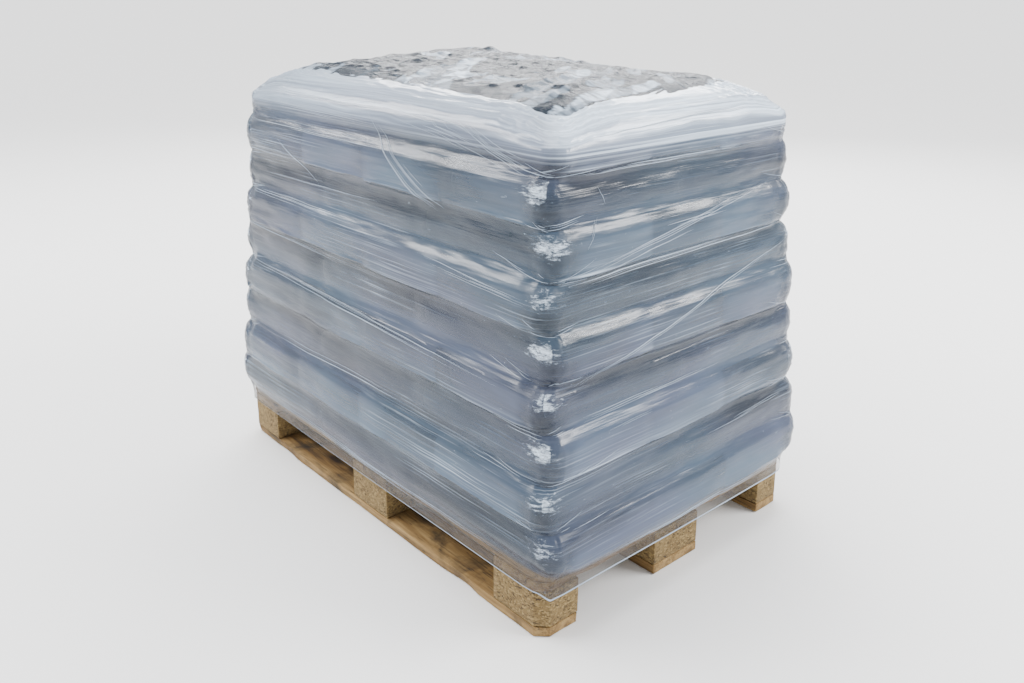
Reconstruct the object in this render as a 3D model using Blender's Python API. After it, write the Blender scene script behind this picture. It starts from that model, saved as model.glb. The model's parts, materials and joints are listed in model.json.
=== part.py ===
# Pallet of sacks: a wooden flat pallet with nine layers of filled sacks,
# a loose cover sheet on top and a stretch wrap around the load.
# Metres, +Z up. The origin is on the floor under the centre of the pallet,
# +X runs along the pallet's length and +Y along its width.
import bpy
import bmesh
import math

# Pallet
PALLET_LENGTH = 1.200
PALLET_WIDTH = 0.800
BOARD_THICKNESS = 0.022
BLOCK_HEIGHT = 0.078
BLOCK_LENGTH = 0.145
OUTER_BLOCK_WIDTH = 0.100
MIDDLE_BLOCK_WIDTH = 0.145
STRINGER_WIDTH = 0.145
DECK_BOARD_WIDTHS = (0.145, 0.100, 0.145, 0.100, 0.145)
CORNER_CUT = 0.024
BLOCK_EDGE_CUT = 0.003
BOARD_EDGE_CUT = 0.006
FIT_GAP = 0.0003
SHARP_ANGLE = math.radians(40.0)

# Load
LAYER_COUNT = 9
LAYER_PITCH = 0.0945
BOTTOM_HALF_LENGTH = 0.637
TOP_HALF_LENGTH = 0.585
BOTTOM_HALF_WIDTH = 0.427
TOP_HALF_WIDTH = 0.374
END_SEAM_REACH = 0.005
LOAD_CORNER_RADIUS = 0.060
CORNER_STEPS = 4
SIDE_BULGE = 0.024
BULGE_POWER = 2.2
PROFILE_STEPS = (0.0, 0.2, 0.5, 0.8, 1.0)
CROWN_RISE = 0.028
SHOULDER_STEPS = (
    (0.006, -0.060),
    (0.020, -0.040),
    (0.055, -0.021),
    (0.110, -0.009),
    (0.170, -0.003),
    (0.240, 0.0),
)
SACK_GAP_DEPTH = 0.030
SACK_GAP_HALF_WIDTH = 0.020
SACK_GAP_SHAPE = ((-1.0, 0.0), (-0.35, 0.25), (0.0, 1.0), (0.35, 0.25), (1.0, 0.0))
TOP_GROOVE_DEPTH = 0.008
TOP_GROOVE_HALF_WIDTH = 0.010
CROWN_GROOVE_DEPTH = 0.024
CROWN_GROOVE_HALF_WIDTH = 0.022
CROWN_GROOVE_STEPS = 8
CROWN_GROOVE_END_INSET = 0.030

# Film
SHEET_THICKNESS = 0.0015
SHEET_FIRST_STEP = 1
WRAP_THICKNESS = 0.0015
WRAP_CLEARANCE = 0.0006
WRAP_SAG_SHARE = 0.5
WRAP_FOLD_STEPS = 5
WRAP_CORNER_RADIUS = 0.022
WRAP_EDGE_ON_LONG_SIDE = 0.100
WRAP_EDGE_ON_SHORT_SIDE = 0.086

BLOCK_BOTTOM = BOARD_THICKNESS
STRINGER_BOTTOM = BLOCK_BOTTOM + BLOCK_HEIGHT
DECK_BOTTOM = STRINGER_BOTTOM + BOARD_THICKNESS
DECK_TOP = DECK_BOTTOM + BOARD_THICKNESS


def clear_scene():
    for item in list(bpy.data.objects):
        bpy.data.objects.remove(item, do_unlink=True)


def make_material(name, color, roughness, metallic=0.0, transmission=0.0):
    material = bpy.data.materials.new(name)
    material.use_nodes = True
    shader = material.node_tree.nodes["Principled BSDF"]
    shader.inputs["Base Color"].default_value = (*color, 1.0)
    shader.inputs["Roughness"].default_value = roughness
    shader.inputs["Metallic"].default_value = metallic
    shader.inputs["Transmission Weight"].default_value = transmission
    return material


def add_object(name, mesh, material, smooth=False):
    mesh.materials.append(material)
    if smooth:
        mesh.shade_smooth()
        mesh.set_sharp_from_angle(angle=SHARP_ANGLE)
    piece = bpy.data.objects.new(name, mesh)
    bpy.context.scene.collection.objects.link(piece)
    return piece


# Flat outlines, counterclockwise

def cut_rectangle(length, width, corner_cuts, edge_cut):
    """Rectangle with its corners cut off at 45 degrees.

    corner_cuts holds the cut of the corners (+x +y), (-x +y), (-x -y), (+x -y);
    None stands for the small edge cut.
    """
    signs = ((1, 1), (-1, 1), (-1, -1), (1, -1))
    points = []
    for index, (sx, sy) in enumerate(signs):
        cut = corner_cuts[index]
        if cut is None:
            cut = edge_cut
        on_side = (sx * length / 2, sy * (width / 2 - cut))
        on_end = (sx * (length / 2 - cut), sy * width / 2)
        if sx * sy > 0:
            points += [on_side, on_end]
        else:
            points += [on_end, on_side]
    return points


def corner_arc(half_length, half_width, radius, sx, sy):
    """Points of one rounded corner, in counterclockwise order."""
    start = {(1, 1): 0.0, (-1, 1): 90.0, (-1, -1): 180.0, (1, -1): 270.0}[(sx, sy)]
    points = []
    for step in range(CORNER_STEPS + 1):
        angle = math.radians(start + 90.0 * step / CORNER_STEPS)
        x = sx * (half_length - radius) + radius * math.cos(angle)
        y = sy * (half_width - radius) + radius * math.sin(angle)
        points.append((x, y))
    return points


def rounded_rectangle(half_length, half_width, radius):
    points = []
    for sx, sy in ((1, 1), (-1, 1), (-1, -1), (1, -1)):
        points += corner_arc(half_length, half_width, radius, sx, sy)
    return points


def gap_notch(position):
    """Section of the gap between two rounded sack edges: (along, depth) pairs."""
    half = SACK_GAP_HALF_WIDTH
    depth = SACK_GAP_DEPTH
    return [(position + half * along, depth * down) for along, down in SACK_GAP_SHAPE]


def joint_places(half_extent, count):
    """Places of the gaps between count equal sacks along a side."""
    return [-half_extent + 2.0 * half_extent * i / count for i in range(1, count)]


def layer_outline(half_length, half_width, count_x, count_y):
    """Outline of a layer with the gaps between its sacks cut into its sides."""
    along_x = joint_places(half_length, count_x)
    along_y = joint_places(half_width, count_y)
    points = corner_arc(half_length, half_width, LOAD_CORNER_RADIUS, 1, 1)
    for place in reversed(along_x):
        points += [(x, half_width - d) for x, d in reversed(gap_notch(place))]
    points += corner_arc(half_length, half_width, LOAD_CORNER_RADIUS, -1, 1)
    for place in reversed(along_y):
        points += [(-half_length + d, y) for y, d in reversed(gap_notch(place))]
    points += corner_arc(half_length, half_width, LOAD_CORNER_RADIUS, -1, -1)
    for place in along_x:
        points += [(x, -half_width + d) for x, d in gap_notch(place)]
    points += corner_arc(half_length, half_width, LOAD_CORNER_RADIUS, 1, -1)
    for place in along_y:
        points += [(half_length - d, y) for y, d in gap_notch(place)]
    return points


# Solids

def add_rings(mesh, rings):
    return [[mesh.verts.new(point) for point in ring] for ring in rings]


def bridge(mesh, lower, upper):
    count = len(lower)
    for i in range(count):
        j = (i + 1) % count
        mesh.faces.new((lower[i], lower[j], upper[j], upper[i]))


def solid_from_rings(name, rings, closed_tube=False):
    """Closed solid through rings that run from the bottom up the outside."""
    mesh = bmesh.new()
    loops = add_rings(mesh, rings)
    for lower, upper in zip(loops, loops[1:]):
        bridge(mesh, lower, upper)
    if closed_tube:
        bridge(mesh, loops[-1], loops[0])
    else:
        mesh.faces.new(list(reversed(loops[0])))
        mesh.faces.new(loops[-1])
    bmesh.ops.recalc_face_normals(mesh, faces=mesh.faces)
    data = bpy.data.meshes.new(name)
    mesh.to_mesh(data)
    mesh.free()
    return data


def prism(name, outline, bottom, top, center=(0.0, 0.0)):
    rings = []
    for z in (bottom, top):
        rings.append([(x + center[0], y + center[1], z) for x, y in outline])
    return solid_from_rings(name, rings)


def edge_cut_board(name, length, width, corner_cuts, bottom, top, center):
    """Board with its upper edges cut slightly, as planed boards are."""
    full = cut_rectangle(length, width, corner_cuts, BLOCK_EDGE_CUT)
    slim_x = (length - 2 * BOARD_EDGE_CUT) / length
    slim_y = (width - 2 * BOARD_EDGE_CUT) / width
    rings = []
    for z, kx, ky in ((bottom, 1.0, 1.0), (top - BOARD_EDGE_CUT, 1.0, 1.0), (top, slim_x, slim_y)):
        rings.append([(x * kx + center[0], y * ky + center[1], z) for x, y in full])
    return solid_from_rings(name, rings)


# Pallet

def corner_cuts_at(row, column):
    """Only the corners that are the pallet's own corners get the large cut."""
    cuts = []
    for sx, sy in ((1, 1), (-1, 1), (-1, -1), (1, -1)):
        at_corner = row in (sy, None) and column in (sx, None)
        cuts.append(CORNER_CUT if at_corner else None)
    return cuts


def row_places():
    outer = PALLET_WIDTH / 2 - OUTER_BLOCK_WIDTH / 2
    return (
        ("front", -1, -outer, OUTER_BLOCK_WIDTH),
        ("middle", 0, 0.0, MIDDLE_BLOCK_WIDTH),
        ("back", 1, outer, OUTER_BLOCK_WIDTH),
    )


def column_places():
    outer = PALLET_LENGTH / 2 - BLOCK_LENGTH / 2
    return (("left", -1, -outer), ("centre", 0, 0.0), ("right", 1, outer))


def build_pallet(board_wood, block_wood):
    for row_name, row, y, width in row_places():
        name = "bottom_board_" + row_name
        cuts = corner_cuts_at(row, None) if row else [None] * 4
        mesh = edge_cut_board(name, PALLET_LENGTH, width, cuts, 0.0, BOARD_THICKNESS, (0.0, y))
        add_object(name, mesh, board_wood)
        for column_name, column, x in column_places():
            block_name = "block_" + row_name + "_" + column_name
            outline = cut_rectangle(BLOCK_LENGTH, width, corner_cuts_at(row, column), BLOCK_EDGE_CUT)
            bottom = BLOCK_BOTTOM + FIT_GAP
            top = STRINGER_BOTTOM - FIT_GAP
            add_object(block_name, prism(block_name, outline, bottom, top, (x, y)), block_wood)

    for column_name, column, x in column_places():
        name = "stringer_board_" + column_name
        cuts = corner_cuts_at(None, column) if column else [None] * 4
        outline = cut_rectangle(STRINGER_WIDTH, PALLET_WIDTH, cuts, BLOCK_EDGE_CUT)
        mesh = prism(name, outline, STRINGER_BOTTOM, DECK_BOTTOM - FIT_GAP, (x, 0.0))
        add_object(name, mesh, board_wood)

    spacing = (PALLET_WIDTH - sum(DECK_BOARD_WIDTHS)) / (len(DECK_BOARD_WIDTHS) - 1)
    edge = -PALLET_WIDTH / 2
    for index, width in enumerate(DECK_BOARD_WIDTHS):
        name = "deck_board_" + str(index + 1)
        row = {0: -1, len(DECK_BOARD_WIDTHS) - 1: 1}.get(index)
        cuts = corner_cuts_at(row, None) if row else [None] * 4
        outline = cut_rectangle(PALLET_LENGTH, width, cuts, BLOCK_EDGE_CUT)
        mesh = prism(name, outline, DECK_BOTTOM, DECK_TOP, (0.0, edge + width / 2))
        add_object(name, mesh, board_wood)
        edge += width + spacing


# Load

def layer_half_sizes(index):
    """Half length and half width of layer index, 0 at the bottom.

    The load narrows towards its top. The sacks' seamed ends stand out a little
    further than their long sides, on the short faces in the even indexes and
    on the long faces in the odd ones.
    """
    share = index / (LAYER_COUNT - 1)
    reach = END_SEAM_REACH if index % 2 == 0 else -END_SEAM_REACH
    half_length = BOTTOM_HALF_LENGTH + (TOP_HALF_LENGTH - BOTTOM_HALF_LENGTH) * share + reach
    half_width = BOTTOM_HALF_WIDTH + (TOP_HALF_WIDTH - BOTTOM_HALF_WIDTH) * share - reach
    return half_length, half_width


def layer_bottom(index):
    return DECK_TOP + FIT_GAP + index * LAYER_PITCH


def side_inset(step):
    return SIDE_BULGE * abs(2.0 * step - 1.0) ** BULGE_POWER


def inset_ring(outline, half_length, half_width, inset, z):
    kx = 1.0 - inset / half_length
    ky = 1.0 - inset / half_width
    return [(x * kx, y * ky, z) for x, y in outline]


def crown_top():
    """Height of the load's domed top."""
    return layer_bottom(LAYER_COUNT - 1) + LAYER_PITCH + CROWN_RISE


def crown_drop(inset):
    """Depth of the domed top below its highest point, at a distance in from the side."""
    for (near, near_drop), (far, far_drop) in zip(SHOULDER_STEPS, SHOULDER_STEPS[1:]):
        if inset <= far:
            share = max(0.0, (inset - near) / (far - near))
            return near_drop + (far_drop - near_drop) * share
    return 0.0


def groove_cutter(name, along_x, place, path, depth, half_width):
    """V-shaped cutter for the groove between two sacks.

    path holds (distance along the groove, height of the surface there).
    """
    section = ((0.0, -depth), (2.0 * half_width, depth), (-2.0 * half_width, depth))
    rings = []
    for along, height in path:
        if along_x:
            rings.append([(along, place + s, height + z) for s, z in section])
        else:
            rings.append([(place + s, along, height + z) for s, z in section])
    return solid_from_rings(name, rings)


def flat_path(top, half_extent):
    reach = half_extent - SIDE_BULGE
    return [(-reach, top), (reach, top)]


def crown_path(place, half_extent, half_across):
    """Path of a groove over the domed top, which runs out before the side."""
    reach = half_extent - CROWN_GROOVE_END_INSET
    path = []
    for step in range(CROWN_GROOVE_STEPS + 1):
        along = reach * (2.0 * step / CROWN_GROOVE_STEPS - 1.0)
        inset = min(half_extent - abs(along), half_across - abs(place))
        path.append((along, crown_top() + crown_drop(inset)))
    return path


def add_grooves(layer, index, top, half_length, half_width, count_x, count_y):
    """Cut the grooves between the sacks into the layer's top face."""
    is_crown = index == LAYER_COUNT - 1
    depth = CROWN_GROOVE_DEPTH if is_crown else TOP_GROOVE_DEPTH
    groove_half_width = CROWN_GROOVE_HALF_WIDTH if is_crown else TOP_GROOVE_HALF_WIDTH
    places = [(True, place) for place in joint_places(half_width, count_y)]
    places += [(False, place) for place in joint_places(half_length, count_x)]
    for number, (along_x, place) in enumerate(places):
        name = "groove_cutter_" + str(index + 1) + "_" + str(number + 1)
        extent, across = (half_length, half_width) if along_x else (half_width, half_length)
        path = crown_path(place, extent, across) if is_crown else flat_path(top, extent)
        data = groove_cutter(name, along_x, place, path, depth, groove_half_width)
        cutter = bpy.data.objects.new(name, data)
        cutter.hide_render = True
        cutter.display_type = "WIRE"
        bpy.context.scene.collection.objects.link(cutter)
        cut = layer.modifiers.new(name, "BOOLEAN")
        cut.operation = "DIFFERENCE"
        cut.solver = "EXACT"
        cut.object = cutter


def build_layers(sack_film):
    for index in range(LAYER_COUNT):
        half_length, half_width = layer_half_sizes(index)
        ends_on_short_faces = index % 2 == 0
        count_x, count_y = (3, 3) if ends_on_short_faces else (4, 2)
        outline = layer_outline(half_length, half_width, count_x, count_y)
        bottom = layer_bottom(index)
        is_top = index == LAYER_COUNT - 1
        height = LAYER_PITCH - FIT_GAP
        rings = []
        for step in PROFILE_STEPS:
            if is_top and step > 0.5:
                continue
            rings.append(inset_ring(outline, half_length, half_width, side_inset(step), bottom + height * step))
        if is_top:
            for inset, drop in SHOULDER_STEPS:
                rings.append(inset_ring(outline, half_length, half_width, inset, crown_top() + drop))
        name = "sack_layer_" + str(index + 1)
        layer = add_object(name, solid_from_rings(name, rings), sack_film, smooth=True)
        add_grooves(layer, index, bottom + height, half_length, half_width, count_x, count_y)


# Film

def plain_ring(half_length, half_width, inset, z, radius=LOAD_CORNER_RADIUS):
    outline = rounded_rectangle(half_length, half_width, radius)
    return inset_ring(outline, half_length, half_width, inset, z)


def build_top_sheet(film):
    half_length, half_width = layer_half_sizes(LAYER_COUNT - 1)
    steps = SHOULDER_STEPS[SHEET_FIRST_STEP:]
    rings = []
    for inset, drop in reversed(steps):
        rings.append(plain_ring(half_length, half_width, inset, crown_top() + drop + FIT_GAP))
    for inset, drop in steps:
        z = crown_top() + drop + FIT_GAP + SHEET_THICKNESS
        rings.append(plain_ring(half_length, half_width, inset, z))
    add_object("top_sheet", solid_from_rings("top_sheet", rings), film, smooth=True)


def skirt_height(x, half_length):
    """Height of the wrap's lower edge, which hangs lower on the short sides."""
    along = (abs(x) - half_length + WRAP_CORNER_RADIUS) / WRAP_CORNER_RADIUS
    along = min(1.0, max(0.0, along))
    return WRAP_EDGE_ON_LONG_SIDE + (WRAP_EDGE_ON_SHORT_SIDE - WRAP_EDGE_ON_LONG_SIDE) * along


def skirt_rings(out):
    """The wrap's lowest ring, round the blocks. The film runs straight up from it to the load."""
    half_length = PALLET_LENGTH / 2
    half_width = PALLET_WIDTH / 2
    ring = plain_ring(half_length, half_width, -out, 0.0, WRAP_CORNER_RADIUS)
    return [[(x, y, skirt_height(x, half_length)) for x, y, z in ring]]


def side_rings(out):
    """Rings of the wrap over the layers' sides, a little slack between two layers."""
    rings = []
    previous = (0.0, 0.0)
    for index in range(LAYER_COUNT):
        size = layer_half_sizes(index)
        is_top = index == LAYER_COUNT - 1
        for step in PROFILE_STEPS[:-1]:
            if index == 0 and step == 0.0 or is_top and step > 0.5:
                continue
            reach = [max(size[i], previous[i]) if step == 0.0 else size[i] for i in (0, 1)]
            z = layer_bottom(index) + (LAYER_PITCH - FIT_GAP) * step
            inset = WRAP_SAG_SHARE * side_inset(step) - out
            rings.append(plain_ring(reach[0], reach[1], inset, z))
        previous = size
    return rings


def fold_rings(out, up):
    """Rings of the wrap over the load's shoulder, and its edge turned in on top."""
    half_length, half_width = layer_half_sizes(LAYER_COUNT - 1)
    base = crown_top() + 2 * FIT_GAP + SHEET_THICKNESS
    rings = []
    for inset, drop in SHOULDER_STEPS[:WRAP_FOLD_STEPS]:
        if inset <= SHOULDER_STEPS[SHEET_FIRST_STEP][0]:
            rings.append(plain_ring(half_length, half_width, inset - out, base + drop))
        else:
            rings.append(plain_ring(half_length, half_width, inset, base + drop + up))
    return rings


def build_stretch_wrap(film):
    sides = skirt_rings(WRAP_CLEARANCE) + side_rings(WRAP_CLEARANCE)
    inner = sides + fold_rings(0.0, 0.0)
    far = WRAP_CLEARANCE + WRAP_THICKNESS
    outer = skirt_rings(far) + side_rings(far) + fold_rings(WRAP_THICKNESS, WRAP_THICKNESS)
    rings = outer + list(reversed(inner))
    add_object("stretch_wrap", solid_from_rings("stretch_wrap", rings, closed_tube=True), film, smooth=True)


def build():
    clear_scene()
    board_wood = make_material("board_wood", (0.62, 0.44, 0.24), 0.80)
    block_wood = make_material("block_wood", (0.45, 0.30, 0.14), 0.85)
    sack_film = make_material("sack_film", (0.32, 0.38, 0.45), 0.35)
    clear_film = make_material("clear_film", (0.78, 0.83, 0.88), 0.18, transmission=0.8)
    build_pallet(board_wood, block_wood)
    build_layers(sack_film)
    build_top_sheet(clear_film)
    build_stretch_wrap(clear_film)


build()
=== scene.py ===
import bpy
import bmesh
import json
import math
import random
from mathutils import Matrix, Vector, noise

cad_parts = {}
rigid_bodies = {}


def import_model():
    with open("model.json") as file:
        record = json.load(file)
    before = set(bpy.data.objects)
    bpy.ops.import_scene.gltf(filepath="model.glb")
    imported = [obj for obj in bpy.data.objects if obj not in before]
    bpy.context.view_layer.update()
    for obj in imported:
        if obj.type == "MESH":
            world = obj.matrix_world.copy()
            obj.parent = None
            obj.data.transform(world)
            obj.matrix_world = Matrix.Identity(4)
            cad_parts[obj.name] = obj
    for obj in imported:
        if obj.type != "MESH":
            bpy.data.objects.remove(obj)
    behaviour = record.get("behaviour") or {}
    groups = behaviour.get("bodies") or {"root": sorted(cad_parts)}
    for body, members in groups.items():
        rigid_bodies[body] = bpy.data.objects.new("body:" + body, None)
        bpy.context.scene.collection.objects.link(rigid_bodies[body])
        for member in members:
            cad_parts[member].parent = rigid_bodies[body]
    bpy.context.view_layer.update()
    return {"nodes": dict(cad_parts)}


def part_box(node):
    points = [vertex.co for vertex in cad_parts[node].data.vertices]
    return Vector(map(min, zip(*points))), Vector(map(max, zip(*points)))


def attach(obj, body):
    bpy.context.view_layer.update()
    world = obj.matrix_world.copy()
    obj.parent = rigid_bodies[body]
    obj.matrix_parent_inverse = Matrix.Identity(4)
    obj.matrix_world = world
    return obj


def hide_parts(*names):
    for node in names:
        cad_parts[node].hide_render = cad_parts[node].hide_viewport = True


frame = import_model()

print("frame loaded,", len(frame["nodes"]), "nodes")


# Small tools

def clamp(value, low=0.0, high=1.0):
    return max(low, min(high, value))


def smooth(low, high, value):    # 0 below low, 1 above high, an S between them
    step = clamp((value - low) / (high - low))
    return step * step * (3.0 - 2.0 * step)


def mix(first, second, share):
    return first + (second - first) * share


def wander(x, y, seed):    # smooth noise, about -1 to 1
    return noise.noise(Vector((x, y, seed * 7.31)), noise_basis="PERLIN_NEW") * 1.6


def deselectAll():
    if bpy.context.object and bpy.context.object.mode == "EDIT":
        bpy.ops.object.mode_set(mode="OBJECT")
    bpy.ops.object.select_all(action="DESELECT")


def makeActive(piece):
    deselectAll()
    piece.select_set(True)
    bpy.context.view_layer.objects.active = piece


def applyModifiers(piece):
    makeActive(piece)
    for modifier in list(piece.modifiers):
        bpy.ops.object.modifier_apply(modifier=modifier.name)


def addObject(name, data):
    piece = bpy.data.objects.new(name, data)
    bpy.context.scene.collection.objects.link(piece)
    return piece


def meshPiece(name, points, faces):
    data = bpy.data.meshes.new(name)
    data.from_pydata(points, [], faces)
    data.update()
    return addObject(name, data)


# Camera, at the photograph's angle

view = {
    "place": (1.716, -1.450, 1.220), "turn": 48.86, "down": 15.17, "shiftY": -0.10, "sensor": 36.0,
    "focal": 935.0 / 1024.0,    # focal length, as a share of the picture's width
}

camera = bpy.data.cameras.new("camera")
camera.sensor_width = view["sensor"]
camera.lens = view["sensor"] * view["focal"]
camera.shift_y = view["shiftY"]
cameraPiece = addObject("camera", camera)
cameraPiece.location = view["place"]
cameraPiece.rotation_euler = (math.radians(90.0 - view["down"]), 0.0, math.radians(view["turn"]))
bpy.context.scene.camera = cameraPiece


# Floor and light

studio = {
    "floorSize": 300.0, "floorDrop": 0.0005, "floorTone": 0.80, "floorRoughness": 0.9,
    "horizonTone": (0.86, 0.89, 0.93), "zenithTone": (1.0, 1.0, 1.0), "zenithFrom": 0.8, "skyStrength": 1.30,
    "sunPower": 4.4, "sunSpread": 50.0, "sunTilt": (4.0, -16.0, 0.0),
}
lamps = [
    {"name": "leftSoftbox", "place": (-3.4, -3.2, 3.1), "aimHeight": 0.6, "size": (3.4, 0.7), "power": 250.0},
    {"name": "rightSoftbox", "place": (3.6, 3.0, 3.1), "aimHeight": 0.6, "size": (3.2, 0.7), "power": 380.0},
    {"name": "backSoftbox", "place": (-3.0, 3.6, 2.9), "aimHeight": 0.9, "size": (4.2, 1.3), "power": 280.0},
]


def makeFloor():
    deselectAll()
    bpy.ops.mesh.primitive_plane_add(size=studio["floorSize"], location=(0.0, 0.0, -studio["floorDrop"]))
    floor = bpy.context.object
    floor.name = "floor"
    paint = bpy.data.materials.new("paleFloor")
    paint.use_nodes = True
    shader = paint.node_tree.nodes["Principled BSDF"]
    tone = studio["floorTone"]
    shader.inputs["Base Color"].default_value = (tone, tone, tone, 1.0)
    shader.inputs["Roughness"].default_value = studio["floorRoughness"]
    floor.data.materials.append(paint)


def makeLamps():
    for lamp in lamps:
        light = bpy.data.lights.new(lamp["name"], "AREA")
        light.shape = "RECTANGLE"
        light.size, light.size_y = lamp["size"]
        light.energy = lamp["power"]
        piece = addObject(lamp["name"], light)
        piece.location = lamp["place"]
        toward = Vector((0.0, 0.0, lamp["aimHeight"])) - Vector(lamp["place"])
        piece.rotation_euler = toward.to_track_quat("-Z", "Y").to_euler()
    sun = bpy.data.lights.new("ceiling", "SUN")
    sun.energy = studio["sunPower"]
    sun.angle = math.radians(studio["sunSpread"])
    addObject("ceiling", sun).rotation_euler = [math.radians(turn) for turn in studio["sunTilt"]]


def makeSky():    # a pale sky, a little bluer towards the horizon
    world = bpy.data.worlds.new("sky")
    bpy.context.scene.world = world
    world.use_nodes = True
    tree = world.node_tree
    background = tree.nodes["Background"]
    background.inputs["Strength"].default_value = studio["skyStrength"]
    around = tree.nodes.new("ShaderNodeTexCoord")
    parts = tree.nodes.new("ShaderNodeSeparateXYZ")
    tree.links.new(around.outputs["Generated"], parts.inputs["Vector"])
    ramp = tree.nodes.new("ShaderNodeValToRGB")
    ends = ((0.0, studio["horizonTone"]), (studio["zenithFrom"], studio["zenithTone"]))
    for element, (place, tone) in zip(ramp.color_ramp.elements, ends):
        element.position = place
        element.color = (*tone, 1.0)
    tree.links.new(parts.outputs["Z"], ramp.inputs["Fac"])
    tree.links.new(ramp.outputs["Color"], background.inputs["Color"])


makeFloor()
makeLamps()
makeSky()
print("camera, floor and light made")


# Shape of the load: nine layers, read from the frame

layerBoxes = [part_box("sack_layer_" + str(number)) for number in range(1, 10)]
load = {
    "layers": len(layerBoxes),
    "bottom": layerBoxes[0][0][2],
    "pitch": layerBoxes[1][0][2] - layerBoxes[0][0][2],
    "crown": layerBoxes[-1][1][2],
    "corners": {1: 0.040, 3: 0.068, 5: 0.068, 7: 0.062},    # radii, by their part of the way round
    "around": (1.22, 0.80),          # length and width on which distances round the load are counted
    "sackFaces": (1.20, 0.76),       # the same for the joints between the sacks
    "cornerSides": (1.15, 0.70),     # the same for the corners' own shape
    "nearSides": (1.13, 0.70),       # the same for what reaches further along the sides
    "cornerEdge": 0.55,              # how much of the corners' shape is left where the straight sides begin
    "cornerFade": 0.045,             # and the distance over which the rest fades
    "nearFade": (0.03, 0.33),
    "longValleys": (0.0022, 0.0045),     # how far the film sinks between layers, under plain and seamed sides
    "shortValleys": (0.0045, 0.0105),    # the same on the short faces
    "cornerValley": 0.013,           # the same at the load's corners
    "bottomValley": 0.010,           # how much further the film is drawn in below the lowest layer
    "hollow": 0.0008,                # how far the film is drawn in between two sacks of a layer
    "hollowWidth": 0.022,
    "ridge": 0.0032,                 # height of a folded down end seam
    "ridgeWidth": 0.045,             # and its width, as a share of the layer
    "seamPlace": 0.20,               # height of that seam, as a share of the layer
    "sag": (0.045, 0.03),            # how far the layers' joints wander up and down, as shares of a layer
    "hump": 0.021,                   # the top layer stands highest here, near the middle
    "humpPlace": (-0.22, 0.16),
    "humpSpread": (0.13, 0.045),
    "bumps": 0.0045,
    "crumple": (0.0026, 0.0014),     # coarse and fine creases of the film at the corners
    "pulled": 0.0016,                # folds that are pulled into the corners
    "lumps": (0.0026, 0.0008),       # broad and small lumps of the filling
    "inside": 0.002,                 # how far the film lies inside the layers' reach
}
shoulder = [    # how far in from the side, and how high above the crown
    (0.0, -0.0762), (0.006, -0.060), (0.020, -0.040), (0.055, -0.021), (0.110, -0.009), (0.170, -0.003),
    (0.240, 0.0), (0.400, 0.001),
]


def halfSizes(level):    # half length and half width of the load at a level counted in layers
    level = clamp(level - 0.5, 0.0, load["layers"] - 1.0)
    below = int(min(level, load["layers"] - 2))
    share = smooth(0.25, 0.75, level - below)
    low, high = layerBoxes[below][1], layerBoxes[below + 1][1]
    return mix(low[0], high[0], share), mix(low[1], high[1], share)


def shoulderDrop(inset):
    for (nearIn, nearDrop), (farIn, farDrop) in zip(shoulder, shoulder[1:]):
        if inset <= farIn:
            return mix(nearDrop, farDrop, (inset - nearIn) / (farIn - nearIn))
    return shoulder[-1][1]


def sidePart(q):    # q runs once round: 0 to 1 front, 1 to 2 corner, 2 to 3 right, 3 to 4 corner and so on
    q = q % 8.0
    segment = int(q)
    return segment, q - segment


def shortWeight(q):    # 0 on the long faces, 1 on the short ones
    segment, along = sidePart(q)
    if segment % 2 == 0:
        return 0.0 if segment % 4 == 0 else 1.0
    turn = math.sin(along * math.pi / 2) ** 2
    return turn if segment in (1, 5) else 1.0 - turn


def radiusAt(radius, corner):    # one radius for all corners, or one for each
    return radius[corner % 8] if isinstance(radius, dict) else radius


faceOut = (Vector((0, -1, 0)), Vector((1, 0, 0)), Vector((0, 1, 0)), Vector((-1, 0, 0)))


def outlinePoint(q, halfLength, halfWidth, radius):    # place and outward direction on a rounded rectangle
    segment, along = sidePart(q)
    if segment % 2 == 0:
        half, across = (halfLength, halfWidth) if segment % 4 == 0 else (halfWidth, halfLength)
        run = mix(radiusAt(radius, segment - 1) - half, half - radiusAt(radius, segment + 1), along)
        out = faceOut[segment // 2]
        return out * across + Vector((-out.y, out.x, 0)) * run, out
    bend = radiusAt(radius, segment)
    angle = math.pi / 2 * ((segment - 1) / 2 - 1 + along)
    out = Vector((math.cos(angle), math.sin(angle), 0))
    sx = 1 if segment in (1, 3) else -1
    sy = 1 if segment in (3, 5) else -1
    return Vector((sx * (halfLength - bend), sy * (halfWidth - bend), 0)) + out * bend, out


def sideShare(q, sides):    # metres from a place on a straight side to the nearer corner
    segment, along = sidePart(q)
    return min(along, 1.0 - along) * sides[segment // 2 % 2]


def cornerWeight(q):    # 1 in the middle of a corner, 0 well along a side
    segment, along = sidePart(q)
    if segment % 2 == 1:
        return mix(load["cornerEdge"], 1.0, math.sin(along * math.pi))
    return load["cornerEdge"] * (1.0 - smooth(0.0, load["cornerFade"], sideShare(q, load["cornerSides"])))


def nearCorner(q):    # fades from 1 at a corner to 0 a third of a metre along the side
    if sidePart(q)[0] % 2 == 1:
        return 1.0
    return 1.0 - smooth(*load["nearFade"], sideShare(q, load["nearSides"]))


def partLength(segment):    # metres of one part of the way round, a straight side or a corner
    bends = load["corners"]
    if segment % 2 == 1:
        return bends[segment] * math.pi / 2
    return load["around"][segment // 2 % 2] - bends[(segment - 1) % 8] - bends[segment + 1]


partLengths = [partLength(segment) for segment in range(8)]


def roundDistance(q):    # metres along the outline, the same at every height
    segment, along = sidePart(q)
    return sum(partLengths[:segment]) + along * partLengths[segment]


wholeRound = roundDistance(7.9999)


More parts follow.
